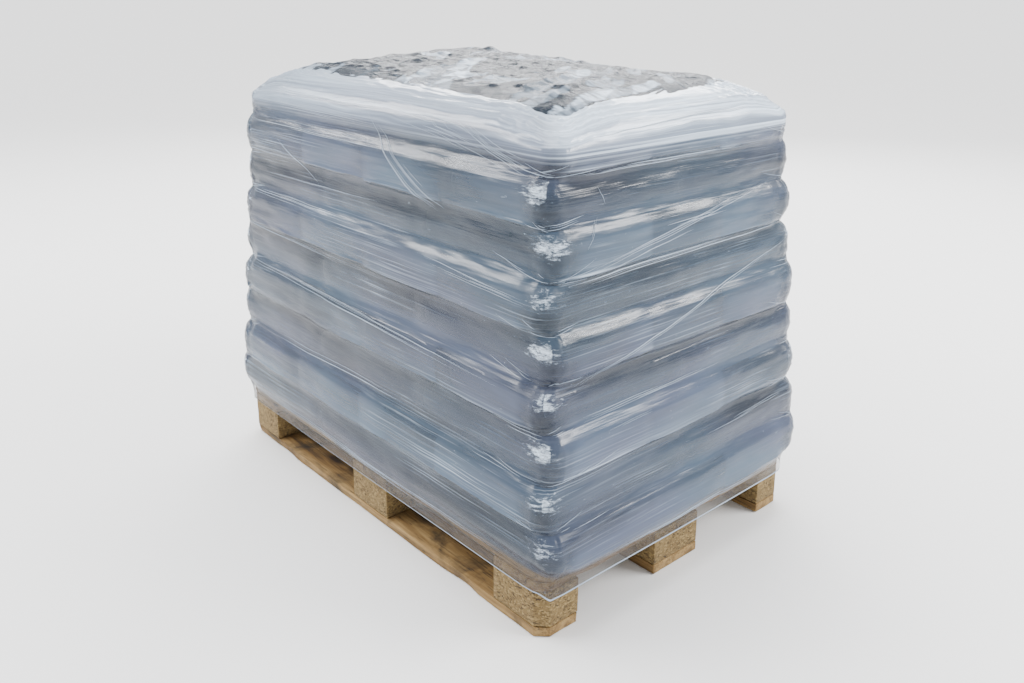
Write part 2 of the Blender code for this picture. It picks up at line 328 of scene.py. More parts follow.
def cornerDistance(q):    # metres from the middle of the nearest corner, less than 0 on the long side
    segment, along = sidePart(q)
    if segment % 2 == 1:
        away = (along - 0.5) * partLengths[segment]
        return away if segment in (1, 5) else -away
    corner = (segment - 1 if along < 0.5 else segment + 1) % 8
    away = min(along, 1.0 - along) * partLengths[segment] + partLengths[corner] / 2
    return -away if segment % 4 == 0 else away


def seamShareOf(q, layer):    # 1 where a layer shows seamed sack ends, 0 where it shows long sides
    short = shortWeight(q)
    return short if layer % 2 == 0 else 1.0 - short


def valleyDepth(q, boundary):    # how far the film sinks at the boundary below this layer
    seam = seamShareOf(q, boundary)
    side = mix(mix(*load["longValleys"], seam), mix(*load["shortValleys"], seam), shortWeight(q))
    corner = load["cornerValley"] * (1.25 if boundary % 2 == 0 else 0.75)
    depth = mix(side, corner, cornerWeight(q)) + (load["bottomValley"] if boundary == 0 else 0.0)
    return depth * (1.0 + 0.55 * wander(roundDistance(q) * 2.2, boundary * 3.7, 4))


def layerAt(level):
    return int(clamp(math.floor(level), 0, load["layers"] - 1))


def layerInset(q, level):    # how far the film lies inside the layers' reach, and where it is in its layer
    layer = layerAt(level)
    t = clamp(level - layer)
    corner = cornerWeight(q)
    seamShare = seamShareOf(q, layer) * (1.0 - 0.85 * corner)
    seam = load["seamPlace"] + 0.05 * wander(roundDistance(q) * 3.0, layer * 5.1, 9)
    depth = valleyDepth(q, layer if t < 0.5 else layer + 1)
    rounded = 0.5 + 0.5 * math.cos(2.0 * math.pi * t)
    smoothSide = depth * mix(rounded, abs(2.0 * t - 1.0) ** 2.2, corner)
    if t < seam:
        seamSide = valleyDepth(q, layer) * ((seam - t) / seam) ** 1.6
    else:
        seamSide = valleyDepth(q, layer + 1) * ((t - seam) / (1.0 - seam)) ** 2.6
    return mix(smoothSide, seamSide, seamShare), seamShare, t, seam


def sackAlong(q, layer):    # which sack of a face this is, and the distance to the nearest joint
    segment, along = sidePart(q)
    if segment % 2 == 1:
        return 0, 1.0
    side = segment // 2 % 2
    count = 3 if layer % 2 == 0 else (4, 2)[side]
    number = int(along * count)
    place = along * count - number
    atEnd = (number == 0 and place < 0.5) or (number == count - 1 and place > 0.5)
    away = 1.0 if atEnd else min(place, 1.0 - place) * load["sackFaces"][side] / count
    return number + 1, away


def sackHollow(q, level):    # the film is drawn in a little where two sacks of a layer meet
    away = sackAlong(q, layerAt(level))[1]
    return load["hollow"] * math.exp(-(away / load["hollowWidth"]) ** 2)


def topHeight(x, y):    # height of the top layer's sacks under the film
    halfLength, halfWidth = halfSizes(load["layers"] - 0.5)
    insetX, insetY = halfLength - abs(x), halfWidth - abs(y)
    inset = min(insetX, insetY)
    both = min(insetX, 0.18) * min(insetY, 0.18)    # rounds the shoulder off at the corners
    drop = shoulderDrop(max(0.0, min(inset, 5.6 * both)))
    (peakX, peakY), (spreadX, spreadY) = load["humpPlace"], load["humpSpread"]
    away = (x - peakX) ** 2 / spreadX + (y - peakY) ** 2 / spreadY
    hump = load["hump"] * math.exp(-away) * smooth(0.0, 0.16, inset)
    bumps = load["bumps"] * wander(x * 4.2, y * 4.6, 31) * smooth(0.02, 0.12, inset)
    return load["crown"] + drop + hump + bumps - 0.001


def ridged(x, y, seed):    # sharp folds, 0 to 1
    return (1.0 - min(1.0, abs(wander(x, y, seed)) * 1.7)) ** 2


def sagging(q, level):    # the layers of filled sacks sag a little, so their joints wander up and down
    layers = load["layers"]
    s = roundDistance(q)
    broad, small = load["sag"]
    wave = broad * wander(s * 1.4, level * 0.35, 2) + small * wander(s * 5.0, level * 0.8, 3)
    wave *= smooth(0.0, 0.7, level) * smooth(layers, layers - 0.8, level)
    return clamp(level + wave, 0.0, layers - 0.001)


def seamLine(q, layer, seam):    # height of a folded end seam in its layer, and how clearly it shows
    s = roundDistance(q)
    number, away = sackAlong(q, layer)
    edge = seam * (0.50 + 0.30 * wander(s * 5.5 + number * 3.0, layer * 2.0, 14))
    strength = smooth(-0.35, 0.30, wander(s * 2.6 + number * 7.0, layer * 3.3, 12))
    strength *= mix(0.75, 1.0, smooth(0.004, 0.020, away))
    return edge, strength


def filmPoint(q, level, lift=0.0):    # a point of the stretched film over the sides; level counts layers
    s = roundDistance(q)
    z = level * load["pitch"]
    bent = sagging(q, level)
    inset, seamShare, t, seam = layerInset(q, bent)
    place, out = outlinePoint(q, *halfSizes(level), load["corners"])
    edge, strength = seamLine(q, int(bent), seam)
    ridge = seamShare * strength * load["ridge"] * math.exp(-((t - edge) / load["ridgeWidth"]) ** 2)
    corner = cornerWeight(q)
    coarse, fine = load["crumple"]
    crumple = coarse * ridged(s * 22.0 + z * 9.0, z * 60.0, 21) + fine * ridged(s * 52.0, z * 120.0, 22)
    pulled = load["pulled"] * nearCorner(q) * (1.0 - corner) * ridged(s * 4.5, z * 62.0 + s * 3.0, 23)
    broad, small = load["lumps"]
    lumps = broad * wander(s * 6.0, level * 1.5, 17) + small * wander(s * 16.0, level * 7.0, 18)
    drawnIn = corner * crumple
    reach = -inset + ridge + lumps - drawnIn - pulled - sackHollow(q, bent) + lift - load["inside"]
    place = place + out * reach
    place.z = load["bottom"] + z
    return place


def filmLight(q, level):    # painted light and shade of the film: lighter above the seams and on the shoulders of the layers, darker below them, and a painted highlight along the seam ridges
    s = roundDistance(q)
    bent = sagging(q, level)
    seamShare, t, seam = layerInset(q, bent)[1:]
    layer = int(bent)
    short = shortWeight(q)
    edge, strength = seamLine(q, layer, seam)
    # The band is painted light and shade: light just above a seam and fading towards the layer's top, shaded
    # below it; on plain sides it darkens towards each layer's top. Random wander moves it too, the short
    # faces are painted lighter in the lower layers and the corners are painted darker in their lower part
    above = mix(0.95, 0.45, (t - edge) / (1.0 - edge)) if t > edge else 0.10
    band = mix(mix(0.50, 0.08, t), above, seamShare * (0.35 + 0.65 * strength))
    band += 0.24 * wander(s * 1.3, level * 1.1, 61) + 0.12 * wander(s * 4.0, level * 3.0, 62)
    band += 0.22 * short * smooth(6.0, 3.0, level)
    band = mix(band, 0.65 * smooth(0.35, 0.90, t), 0.75 * cornerWeight(q))
    # A painted highlight along each seam ridge, fading above it; on the short faces it is strongest near the
    # corners
    fade = math.exp(-(t - edge) / 0.10) if t > edge else math.exp(-((t - edge) / 0.016) ** 2)
    ridge = fade * seamShare * strength * smooth(-0.30, 0.50, wander(s * 3.0, layer * 2.0, 63))
    ridge *= mix(0.35, 0.40 + 0.60 * nearCorner(q), short)
    return clamp(band), clamp(ridge)


# Materials

def newMaterial(name):
    paint = bpy.data.materials.new(name)
    paint.use_nodes = True
    tree = paint.node_tree
    return paint, tree, tree.nodes["Principled BSDF"]


def addNode(tree, kind, values=None, **settings):
    node = tree.nodes.new("ShaderNode" + kind)
    for key, value in settings.items():
        setattr(node, key, value)
    for key, value in (values or {}).items():
        node.inputs[key].default_value = value
    return node


def colorSteps(tree, source, steps):    # a ramp: steps are (place, colour)
    ramp = addNode(tree, "ValToRGB")
    ramp.color_ramp.elements[0].position = steps[0][0]
    ramp.color_ramp.elements[0].color = (*steps[0][1], 1.0)
    ramp.color_ramp.elements[1].position = steps[-1][0]
    ramp.color_ramp.elements[1].color = (*steps[-1][1], 1.0)
    for place, color in steps[1:-1]:
        ramp.color_ramp.elements.new(place).color = (*color, 1.0)
    tree.links.new(source, ramp.inputs["Fac"])
    return ramp.outputs["Color"]


def mapTo(tree, source, fromLow, fromHigh, toLow=0.0, toHigh=1.0):
    ends = {"From Min": fromLow, "From Max": fromHigh, "To Min": toLow, "To Max": toHigh}
    node = addNode(tree, "MapRange", ends)
    tree.links.new(source, node.inputs["Value"])
    return node.outputs["Result"]


def calculate(tree, operation, first, second):
    node = addNode(tree, "Math", operation=operation)
    for number, item in enumerate((first, second)):
        if isinstance(item, (int, float)):
            node.inputs[number].default_value = item
        else:
            tree.links.new(item, node.inputs[number])
    return node.outputs["Value"]


def plus(tree, first, second):
    return calculate(tree, "ADD", first, second)


def minus(tree, first, second):
    return calculate(tree, "SUBTRACT", first, second)


def times(tree, first, second):
    return calculate(tree, "MULTIPLY", first, second)


def larger(tree, first, second):
    return calculate(tree, "MAXIMUM", first, second)


def blendColor(tree, share, first, second, blend="MIX"):
    node = addNode(tree, "Mix", data_type="RGBA", blend_type=blend)
    ends = ((node.inputs[0], share), (node.inputs[6], first), (node.inputs[7], second))
    for end, item in ends:
        if isinstance(item, (int, float)):
            end.default_value = item
        elif isinstance(item, tuple):
            end.default_value = (*item, 1.0)
        else:
            tree.links.new(item, end)
    return node.outputs[2]


def mapping(tree, source, scale, turn=(0.0, 0.0, 0.0), move=(0.0, 0.0, 0.0)):
    node = addNode(tree, "Mapping", {"Scale": scale, "Rotation": turn, "Location": move})
    tree.links.new(source, node.inputs["Vector"])
    return node.outputs["Vector"]


def noiseOf(tree, source, scale, detail=4.0, rough=0.55, warp=0.0):
    values = {"Scale": scale, "Detail": detail, "Roughness": rough, "Distortion": warp}
    node = addNode(tree, "TexNoise", values)
    tree.links.new(source, node.inputs["Vector"])
    return node.outputs["Fac"]


def bumpFrom(tree, shader, height, strength, distance, under=None):
    node = addNode(tree, "Bump", {"Strength": strength, "Distance": distance})
    tree.links.new(height, node.inputs["Height"])
    if under is not None:
        tree.links.new(under, node.inputs["Normal"])
    if shader is not None:
        tree.links.new(node.outputs["Normal"], shader.inputs["Normal"])
    return node.outputs["Normal"]


timber = {
    "pale": (0.340, 0.220, 0.085), "warm": (0.215, 0.125, 0.040), "dark": (0.070, 0.037, 0.012),
    "knot": (0.030, 0.014, 0.005), "dirt": (0.016, 0.013, 0.008), "roughness": 0.85,
    "grain": (1.6, 22.0), "knots": (4.2, 13.0),    # scale of the pattern along a board and across it
}


def sawnWood(name, alongX, seed):
    def stretched(scale):
        return (scale[0], scale[1], scale[1]) if alongX else (scale[1], scale[0], scale[1])

    paint, tree, shader = newMaterial(name)
    place = addNode(tree, "TexCoord").outputs["Object"]
    grain = mapping(tree, place, stretched(timber["grain"]), move=(seed, seed * 2.0, seed * 3.0))
    bands = noiseOf(tree, grain, 1.4, 5.0, 0.6, 1.4)
    fibres = noiseOf(tree, grain, 9.0, 6.0, 0.7, 0.3)
    steps = [(0.30, timber["dark"]), (0.42, timber["warm"]), (0.60, timber["pale"])]
    color = colorSteps(tree, bands, steps)
    color = blendColor(tree, mapTo(tree, fibres, 0.35, 0.75, 0.0, 0.45), color, timber["warm"], "MULTIPLY")
    knots = addNode(tree, "TexVoronoi", {"Scale": 1.0}, feature="F1")
    knotMap = mapping(tree, place, stretched(timber["knots"]), move=(seed, 0.3, seed))
    tree.links.new(knotMap, knots.inputs["Vector"])
    knotShare = mapTo(tree, knots.outputs["Distance"], 0.10, 0.24, 1.0, 0.0)
    color = blendColor(tree, knotShare, color, timber["knot"])
    soil = noiseOf(tree, place, 7.0, 6.0, 0.65, 0.6)
    color = blendColor(tree, mapTo(tree, soil, 0.54, 0.70, 0.0, 0.85), color, timber["dirt"])
    cracks = noiseOf(tree, mapping(tree, grain, (0.5, 1.0, 1.0), move=(4.0, 1.0, 2.0)), 3.2, 3.0, 0.5, 0.8)
    cracks = calculate(tree, "ABSOLUTE", minus(tree, cracks, 0.5), 0.0)
    color = blendColor(tree, mapTo(tree, cracks, 0.004, 0.014, 0.8, 0.0), color, timber["dirt"])
    tree.links.new(color, shader.inputs["Base Color"])
    shader.inputs["Roughness"].default_value = timber["roughness"]
    bumpFrom(tree, shader, plus(tree, times(tree, fibres, 0.7), bands), 0.55, 0.0016)
    return paint


chips = {
    "pale": (0.270, 0.185, 0.072), "mid": (0.155, 0.098, 0.034), "dark": (0.034, 0.020, 0.007),
    "roughness": 0.9, "grain": (210.0, 210.0, 330.0),    # scale of the chips
    "ragged": 0.006,                                     # how far their edges are bent
}


def pressedChips(name, seed):
    paint, tree, shader = newMaterial(name)
    place = addNode(tree, "TexCoord").outputs["Object"]
    warp = addNode(tree, "TexNoise", {"Scale": 90.0, "Detail": 2.0})
    tree.links.new(place, warp.inputs["Vector"])
    bent = addNode(tree, "VectorMath", operation="MULTIPLY_ADD")
    tree.links.new(warp.outputs["Color"], bent.inputs[0])
    bent.inputs[1].default_value = [chips["ragged"]] * 3
    tree.links.new(place, bent.inputs[2])
    cells = addNode(tree, "TexVoronoi", {"Scale": 1.0, "Randomness": 1.0}, feature="F1")
    cellMap = mapping(tree, bent.outputs["Vector"], chips["grain"], move=(seed, seed, 0.0))
    tree.links.new(cellMap, cells.inputs["Vector"])
    tone = addNode(tree, "SeparateColor")
    tree.links.new(cells.outputs["Color"], tone.inputs["Color"])
    steps = [(0.05, chips["dark"]), (0.22, chips["mid"]), (0.60, chips["mid"]), (0.90, chips["pale"])]
    color = colorSteps(tree, tone.outputs["Red"], steps)
    gaps = mapTo(tree, cells.outputs["Distance"], 0.55, 0.95, 0.0, 0.8)
    color = blendColor(tree, gaps, color, chips["dark"])
    broad = noiseOf(tree, place, 16.0, 4.0, 0.6)
    color = blendColor(tree, mapTo(tree, broad, 0.35, 0.70, 0.0, 0.35), color, chips["pale"])
    tree.links.new(color, shader.inputs["Base Color"])
    shader.inputs["Roughness"].default_value = chips["roughness"]
    bumpFrom(tree, shader, minus(tree, tone.outputs["Green"], cells.outputs["Distance"]), 0.6, 0.0012)
    return paint


# Pallet

pallet = {
    "halfLength": 0.6, "halfWidth": 0.4, "cornerCut": 0.024,
    "edge": 0.0022, "sharp": 40.0, "smooth": 35.0,    # worn edges, and the angles from which an edge counts
    "spacing": 0.012,                                 # between the points of a board, for its unevenness
    "sawn": 0.0012, "planed": 0.0004,                 # how uneven the faces are, and how far in they start
    "wane": 0.010, "waneReach": 0.02,                 # depth and width of the bites out of the boards' edges
    "boardMost": 0.03,                                # what is thinner than this is a board
}


def addBlank(name, low, high):    # a box at its size and place, ready for edit mode
    deselectAll()
    middle = [(a + b) / 2 for a, b in zip(low, high)]
    bpy.ops.mesh.primitive_cube_add(size=1.0, location=middle)
    piece = bpy.context.object
    piece.name = name
    piece.scale = [b - a for a, b in zip(low, high)]
    bpy.ops.object.transform_apply(location=True, rotation=False, scale=True)
    return piece


def chooseEdges(piece, axis):    # select the edges that run along one axis, in edit mode
    bpy.ops.mesh.select_mode(type="EDGE")
    bpy.ops.mesh.select_all(action="DESELECT")
    shape = bmesh.from_edit_mesh(piece.data)
    for edge in shape.edges:
        run = edge.verts[1].co - edge.verts[0].co
        edge.select = abs(run[axis]) > 0.98 * run.length
    shape.select_flush_mode()
    bmesh.update_edit_mesh(piece.data)


def cutOffCorner(sx, sy):
    place = (sx * pallet["halfLength"], sy * (pallet["halfWidth"] - pallet["cornerCut"]), 0)
    across = Vector((sx, sy, 0)).normalized()
    bpy.ops.mesh.select_all(action="SELECT")
    bpy.ops.mesh.bisect(plane_co=place, plane_no=across, use_fill=True, clear_outer=True)


def roughSawn(name, seed, corners):    # a board or block of the pallet, from the node's own box
    low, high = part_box(name)
    piece = addBlank(name + "_wood", low, high)
    size = [b - a for a, b in zip(low, high)]
    bpy.ops.object.mode_set(mode="EDIT")
    for sx, sy in corners:
        cutOffCorner(sx, sy)
    for axis in range(3):
        cuts = int(round(size[axis] / pallet["spacing"])) - 1
        if cuts > 0:
            chooseEdges(piece, axis)
            bpy.ops.mesh.subdivide(number_cuts=cuts)
    bpy.ops.object.mode_set(mode="OBJECT")
    bevel = piece.modifiers.new("edges", "BEVEL")
    bevel.width = pallet["edge"]
    bevel.segments = 2
    bevel.limit_method = "ANGLE"
    bevel.angle_limit = math.radians(pallet["sharp"])
    applyModifiers(piece)
    weather(piece, low, high, seed)
    bpy.ops.object.shade_smooth_by_angle(angle=math.radians(pallet["smooth"]))
    return piece


def weather(piece, low, high, seed):    # uneven sawing and worn edges
    long = 0 if high[0] - low[0] > high[1] - low[1] else 1
    side = 1 - long
    middle = (low[side] + high[side]) / 2
    reach = pallet["waneReach"]
    isBoard = high[2] - low[2] < pallet["boardMost"]
    for vertex in piece.data.vertices:
        p = vertex.co
        along, across = p[long], p[side]
        out = vertex.normal
        rough = pallet["sawn"] * wander(along * 9.0 + seed, across * 40.0 + p.z * 60.0, seed)
        inward = -abs(rough) - pallet["planed"]
        nearEdge = min(abs(across - low[side]), abs(high[side] - across))
        if isBoard and nearEdge < reach:
            edgeSeed = seed * 1.7 + math.copysign(3.0, across - middle)
            bite = max(0.0, wander(along * 6.0, edgeSeed, seed + 5) - 0.25)
            lower = smooth(high[2], low[2], p.z)
            shift = pallet["wane"] * bite * (0.35 + lower) * (1.0 - nearEdge / reach)
            move = [0.0, 0.0, 0.0]
            move[side] = math.copysign(shift, middle - across)
            p += Vector(move)
        p += out * inward


def makePallet():
    wood = {alongX: [sawnWood("sawnWood" + ("Long" if alongX else "Cross") + str(k), alongX, 1.3 + k * 2.1)
                     for k in range(2)] for alongX in (True, False)}
    chip = pressedChips("pressedChips", 1.7)
    columns = (("left", -1), ("centre", 0), ("right", 1))
    timbers = []    # name, which way its grain runs, or None for a block, and which corners are cut off
    for row, sy in (("front", -1), ("middle", 0), ("back", 1)):
        timbers.append(("bottom_board_" + row, True, [(-1, sy), (1, sy)] if sy else []))
        for column, sx in columns:
            timbers.append(("block_" + row + "_" + column, None, [(sx, sy)] if sx and sy else []))
    for column, sx in columns:
        timbers.append(("stringer_board_" + column, False, [(sx, -1), (sx, 1)] if sx else []))
    for number in range(1, 6):
        sy = {1: -1, 5: 1}.get(number)
        timbers.append(("deck_board_" + str(number), True, [(-1, sy), (1, sy)] if sy else []))
    for seed, (name, alongX, corners) in enumerate(timbers, 1):
        piece = roughSawn(name, seed, corners)
        if alongX is None:
            dress(piece, chip, "block_wood", name)
        else:
            dress(piece, wood[alongX][seed % 2], "board_wood", name)


def dress(piece, paint, slot, *nodes):
    piece.data.materials.clear()
    piece.data.materials.append(paint)
    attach(piece, "root")
    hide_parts(*nodes)


makePallet()
print("pallet made")


# Sacks

sack = {
    "length": 0.41, "width": 0.28, "height": 0.090, "round": 0.030, "voxel": 0.0145,
    "pressure": 4.0, "frames": 20, "swell": 0.008, "slack": 0.05, "pinch": 0.04,
    "gap": 0.001,                       # round each sack in its place in the layer
    "clear": 0.003,                     # between the sacks and the film
    "topClear": 0.004, "topLow": 0.02,  # the same over the top layer, and how far its sacks are pressed down
    "film": (0.045, 0.062, 0.082), "shade": (0.020, 0.028, 0.040), "roughness": 0.30, "specular": 0.20,
}


def sackFilm():
    paint, tree, shader = newMaterial("sackFilm")
    place = addNode(tree, "TexCoord").outputs["Object"]
    broad = noiseOf(tree, mapping(tree, place, (3.0, 3.0, 7.0)), 2.0, 4.0, 0.6, 0.5)
    color = colorSteps(tree, broad, [(0.30, sack["shade"]), (0.62, sack["film"])])
    tree.links.new(color, shader.inputs["Base Color"])
    shader.inputs["Roughness"].default_value = sack["roughness"]
    shader.inputs["Specular IOR Level"].default_value = sack["specular"]
    creases = noiseOf(tree, mapping(tree, place, (5.0, 5.0, 26.0)), 3.0, 5.0, 0.62, 1.2)
    bumpFrom(tree, shader, creases, 0.5, 0.006)
    return paint


def simulate(frames):    # run the cloth, frame by frame
    for step in range(1, frames + 1):
        bpy.context.scene.frame_set(step)


def filledSack(seed):    # a slack bag blown up until its film is taut, as one closed cloth
    size = (sack["length"], sack["width"], sack["height"])
    piece = addBlank("filledSack" + str(seed), [-side / 2 for side in size], [side / 2 for side in size])
    bevel = piece.modifiers.new("round", "BEVEL")
    bevel.width = sack["round"]
    bevel.segments = 4
    remesh = piece.modifiers.new("even", "REMESH")
    remesh.mode = "VOXEL"
    remesh.voxel_size = sack["voxel"]
    applyModifiers(piece)
    for vertex in piece.data.vertices:
        p = vertex.co
        p.z *= 1.0 + sack["slack"] * wander(p.x * 11.0, p.y * 11.0 + p.z * 9.0, seed)
        p.y *= 1.0 - sack["pinch"] * abs(p.x / size[0] * 2) ** 3
    before = [vertex.co.copy() for vertex in piece.data.vertices]
    cloth = piece.modifiers.new("pressure", "CLOTH")
    cloth.settings.use_pressure = True
    cloth.settings.uniform_pressure_force = sack["pressure"]
    cloth.settings.effector_weights.gravity = 0.0
    simulate(sack["frames"])
    applyModifiers(piece)
    bpy.context.scene.frame_set(1)
    for vertex, start in zip(piece.data.vertices, before):
        move = vertex.co - start
        if move.length > sack["swell"]:
            vertex.co = start + move * (sack["swell"] / move.length)
    reach = [max(abs(vertex.co[axis]) for vertex in piece.data.vertices) for axis in range(3)]
    points = [[vertex.co[axis] / reach[axis] for axis in range(3)] for vertex in piece.data.vertices]
    faces = [list(face.vertices) for face in piece.data.polygons]
    bpy.data.objects.remove(piece, do_unlink=True)
    return points, faces


def layerSacks(number, blanks):
    layer = number - 1
    high = layerBoxes[layer][1]
    alongX = layer % 2 == 0
    isTop = number == load["layers"]
    columns, rows = (3, 3) if alongX else (4, 2)
    halfLength, halfWidth = high[0] - sack["clear"], high[1] - sack["clear"]
    bottom, pitch, gap = load["bottom"] + layer * load["pitch"], load["pitch"], sack["gap"]
    cellX, cellY = 2 * halfLength / columns, 2 * halfWidth / rows
    points, faces = [], []
    chance = random.Random(number)
    for column in range(columns):
        for row in range(rows):
            shape, corners = blanks[chance.randrange(len(blanks))]
            flipX, flipY = chance.choice((-1, 1)), chance.choice((-1, 1))
            centerX = -halfLength + cellX * (column + 0.5)
            centerY = -halfWidth + cellY * (row + 0.5)
            first = len(points)
            for px, py, pz in shape:
                along, across = (px, py) if alongX else (py, px)
                x = centerX + along * flipX * (cellX / 2 - gap)
                y = centerY + across * flipY * (cellY / 2 - gap)
                height = pitch - 2 * gap
                if isTop:
                    height += max(-sack["topLow"], topHeight(x, y) - (bottom + pitch) - sack["topClear"])
                z = bottom + gap + (0.5 + 0.5 * pz) * height
                point = keepInside(Vector((x, y, z)))
                if isTop and pz > 0.0:
                    point.z = min(topHeight(point.x, point.y) - sack["clear"], point.z)
                points.append(point)
            faces += [[first + index for index in corner] for corner in corners]
    piece = meshPiece("sacks_" + str(number), points, faces)
    makeActive(piece)
    bpy.ops.object.mode_set(mode="EDIT")
    bpy.ops.mesh.select_all(action="SELECT")
    bpy.ops.mesh.normals_make_consistent(inside=False)
    bpy.ops.object.mode_set(mode="OBJECT")
    bpy.ops.object.shade_smooth()
    return piece


def keepInside(point):    # push a point of a sack back under the film
    level = min((point.z - load["bottom"]) / load["pitch"], load["layers"] - 0.5)
    halfLength, halfWidth = halfSizes(level)
    radius = load["corners"]
    q = nearestPart(point.x, point.y, halfLength, halfWidth, radius)
    film = filmPoint(q, level)
    out = outlinePoint(q, halfLength, halfWidth, radius)[1]
    over = (Vector((point.x, point.y, 0)) - Vector((film.x, film.y, 0))).dot(out) + sack["clear"]
    if over > 0.0:
        point.x -= out.x * over
        point.y -= out.y * over
    return point


def nearestPart(x, y, halfLength, halfWidth, radius):
    corner = (1 if y < 0 else 3) if x > 0 else (5 if y > 0 else 7)
    bend = radiusAt(radius, corner)
    beyondX, beyondY = abs(x) - halfLength + bend, abs(y) - halfWidth + bend
    if beyondX > 0 and beyondY > 0:
        angle = math.atan2(beyondY, beyondX) / (math.pi / 2)
        return corner + (1.0 - angle if corner in (1, 5) else angle)
    if halfWidth - abs(y) < halfLength - abs(x):
        segment, run, half = (0, x, halfLength) if y < 0 else (4, -x, halfLength)
    else:
        segment, run, half = (2, y, halfWidth) if x > 0 else (6, -y, halfWidth)
    before, after = radiusAt(radius, segment - 1), radiusAt(radius, segment + 1)
    return segment + 0.9999 * clamp((run + half - before) / (2 * half - before - after))


def makeSacks():
    paint = sackFilm()
    blanks = [filledSack(seed) for seed in (1, 2)]
    for number in range(1, load["layers"] + 1):
        piece = layerSacks(number, blanks)
        dress(piece, paint, "sack_film", "sack_layer_" + str(number))


makeSacks()
print("sacks made")


# Stretch wrap: two turns of film, the upper one over the lower one's edge

wrap = {
    "skirtLong": 0.100, "skirtShort": 0.082,    # height of the lower edge on the long and the short faces
    "skirtWave": 0.0025, "skirtRise": 0.008,    # how far that edge waves, and rises at the corners
    "skirtRadius": 0.022, "skirtGap": 0.0022,   # its corners, and its distance from the pallet
    "skirtLevel": 0.10, "skirtMap": 0.06,       # where the skirt starts, in layers, and its height in the map
    "skirtRows": 9, "foldRows": 30,
    "foldFar": 0.165, "foldNear": 0.060,        # how far the film reaches in over the top, far from a corner
    "foldLift": 0.0035, "foldRise": 0.003,
    "lift": 0.0012, "gap": 0.0008,              # between the film and its load, and between its two turns
    "seamHeight": 3.95, "overlap": 0.28, "climb": 0.34, "spare": 0.25,    # where the turns meet, in layers
    "knobGlints": (0.45, 0.75, 0.60, 0.95, 0.55, 1.0, 0.60, 0.85, 1.0),        # how strong and wide the painted glints on the corners' knobs are
    "foldLong": 0.50,                           # how white the turned in film is on the long faces
    # tint and pale are the film's colours in painted shade and painted light, with random clouds between
    # them; white serves real streaks and folds and the painted glints and ridge highlights
    "tint": (0.012, 0.021, 0.034), "pale": (0.062, 0.100, 0.152), "white": (0.66, 0.78, 0.92),
    "mauve": (1.06, 0.84, 0.92), "skirt": (0.080, 0.070, 0.064),
    "roughness": 0.26, "specular": 0.36, "coat": 0.08, "coatRoughness": 0.10,
    "cover": 0.90, "skirtClear": 0.46, "paleCover": 0.30,    # opacity, less on the skirt and more where pale
}


def wrapColumns():    # places round the load, closer together at the corners
    places = []
    for segment in range(8):
        count = 32 if segment % 2 == 1 else (156, 96)[segment // 2 % 2]
        for index in range(count):
            share = index / count
            if segment % 2 == 0:
                share = mix(share, 0.5 - 0.5 * math.cos(share * math.pi), 0.5)
            places.append(segment + share)
    return places


def wrapLevels(low, high):    # heights over the sides, closer together around the seams and valleys
    steps = (0.0, 0.03, 0.06, 0.09, 0.12, 0.15, 0.18, 0.22, 0.27, 0.33, 0.40, 0.47, 0.54, 0.61, 0.68, 0.74,
             0.80, 0.85, 0.90, 0.95)
    levels = [layer + step for layer in range(load["layers"]) for step in steps]
    return [level for level in levels if low <= level <= high]


def turnEdge(q):    # height, in layers, of the edge between the turns; it climbs a little round the load
    s = roundDistance(q)
    climb = wrap["climb"] * abs(2.0 * ((s + 0.6) / wholeRound % 1.0) - 1.0) - wrap["climb"] / 2
    return wrap["seamHeight"] + climb + 0.03 * wander(s * 2.0, 0.0, 33)


def skirtPoint(q, share):    # below the load the film runs straight in to the pallet's blocks
    s = roundDistance(q)
    low, out = outlinePoint(q, pallet["halfLength"], pallet["halfWidth"], wrap["skirtRadius"])
    low += out * wrap["skirtGap"]
    edge = mix(wrap["skirtLong"], wrap["skirtShort"], shortWeight(q))
    low.z = edge + wrap["skirtWave"] * wander(s * 2.1, 0.0, 41) + wrap["skirtRise"] * cornerWeight(q) ** 2
    share = clamp(share)
    point = low.lerp(filmPoint(q, wrap["skirtLevel"], wrap["lift"]), share)
    sag = math.sin(share * math.pi)
    return point + out * sag * (0.0012 * wander(s * 6.0, share * 4.0, 43) - 0.002)


def foldReach(q):    # the upper edge lies askew on the top and comes nearest to the rim at one corner
    away = min(abs(q - 1.5), 8.0 - abs(q - 1.5))
    return mix(wrap["foldNear"], wrap["foldFar"], smooth(0.45, 1.55, away))


def foldPoint(q, share):    # over the shoulder and in onto the top
    s = roundDistance(q)
    topLevel = load["layers"] - 0.5
    halfLength, halfWidth = halfSizes(topLevel)
    reach = foldReach(q) * (1.0 + 0.10 * wander(s * 3.0, 0.0, 51) + 0.03 * wander(s * 14.0, 0.0, 52))
    inset = reach * share
    place = outlinePoint(q, halfLength, halfWidth, load["corners"])[0]
    if share < 0.2:
        place = place.lerp(filmPoint(q, topLevel) * Vector((1, 1, 0)), 1.0 - share / 0.2)
    x = place.x * (1.0 - inset / halfLength)
    y = place.y * (1.0 - inset / halfWidth)
    rise = smooth(0.0, 0.25, share)
    folds = 0.0022 * rise * ridged(s * 3.0, share * 9.0, 53)
    folds += 0.0016 * rise * ridged(s * 9.0, share * 22.0, 54)
    folds += 0.0035 * nearCorner(q) ** 2 * rise * ridged(s * 26.0, share * 5.0, 55)
    return Vector((x, y, topHeight(x, y) + wrap["foldLift"] + wrap["foldRise"] * rise + folds))


def skirtPlace(q, share):    # like the next three: a point of the film, its tone, its painted light and its height in the map
    tone = (0.25 * cornerWeight(q), 1.0 - smooth(0.72, 1.0, share), 0.0, 1.0)
    # The skirt's band is a fixed painted shade value
    return skirtPoint(q, share), tone, (0.35, 0.0, 0.0, 1.0), wrap["skirtMap"] * share


